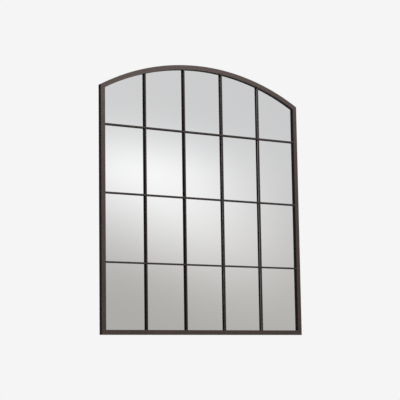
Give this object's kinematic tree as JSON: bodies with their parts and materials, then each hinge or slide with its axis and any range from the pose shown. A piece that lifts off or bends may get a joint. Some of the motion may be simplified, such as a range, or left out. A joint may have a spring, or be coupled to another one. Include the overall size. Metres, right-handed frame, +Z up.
{
  "type": "arched window mirror",
  "caption": "Wall mirror with a dark bronze steel frame, straight sides and a shallow arched top, one mirror sheet behind a flush lattice of thin bars in a window pattern.",
  "frame": {"origin": "middle of the line through the two ring pivots, on the wall plane", "axes": "+X to the right as seen from the room, +Y into the wall, +Z up"},
  "size_m": [1, 0.027, 1.1599],
  "materials": {
    "bronze_paint": "satin dark bronze, lightly mottled",
    "mirror": "silvered glass",
    "board": "smooth brown hardboard",
    "tape": "matt closed-cell foam",
    "block_rubber": "matt",
    "bumper_rubber": "matt",
    "bracket_steel": "mill finish",
    "zinc_steel": "bright zinc plated"
  },
  "bodies": {
    "mirror": {"arch_glazing_tape": "tape", "arch_left_clip": "zinc_steel", "arch_right_clip": "zinc_steel", "arched_head_rail": "bronze_paint", "backing_board": "board", "bottom_glazing_tape": "tape", "bottom_rail": "bronze_paint", "clip_screws": "zinc_steel", "far_left_vertical_bar": "bronze_paint", "far_right_vertical_bar": "bronze_paint", "hanger_screws": "zinc_steel", "inner_left_vertical_bar": "bronze_paint", "inner_right_vertical_bar": "bronze_paint", "left_glazing_tape": "tape", "left_hanger_plate": "zinc_steel", "left_lower_bumper": "bumper_rubber", "left_lower_clip": "zinc_steel", "left_lower_corner_bracket": "bracket_steel", "left_middle_clip": "zinc_steel", "left_setting_block": "block_rubber", "left_stile": "bronze_paint", "left_upper_bumper": "bumper_rubber", "left_upper_clip": "zinc_steel", "left_upper_corner_bracket": "bracket_steel", "lower_horizontal_bar": "bronze_paint", "middle_horizontal_bar": "bronze_paint", "mirror_glass": "mirror", "rail_left_clip": "zinc_steel", "rail_right_clip": "zinc_steel", "right_glazing_tape": "tape", "right_hanger_plate": "zinc_steel", "right_lower_bumper": "bumper_rubber", "right_lower_clip": "zinc_steel", "right_lower_corner_bracket": "bracket_steel", "right_middle_clip": "zinc_steel", "right_setting_block": "block_rubber", "right_stile": "bronze_paint", "right_upper_bumper": "bumper_rubber", "right_upper_clip": "zinc_steel", "right_upper_corner_bracket": "bracket_steel", "upper_horizontal_bar": "bronze_paint"},
    "left_ring": {"left_hanger_ring": "zinc_steel"},
    "right_ring": {"right_hanger_ring": "zinc_steel"}
  },
  "joints": [
    {"name": "left_ring_swing", "type": "hinge", "parent": "mirror", "child": "left_ring", "pos_m": [-0.476, -0.00325, 0], "axis": [1, 0, 0], "range_deg": [0, 180]},
    {"name": "right_ring_swing", "type": "hinge", "parent": "mirror", "child": "right_ring", "pos_m": [0.476, -0.00325, 0], "axis": [1, 0, 0], "range_deg": [0, 180]}
  ]
}
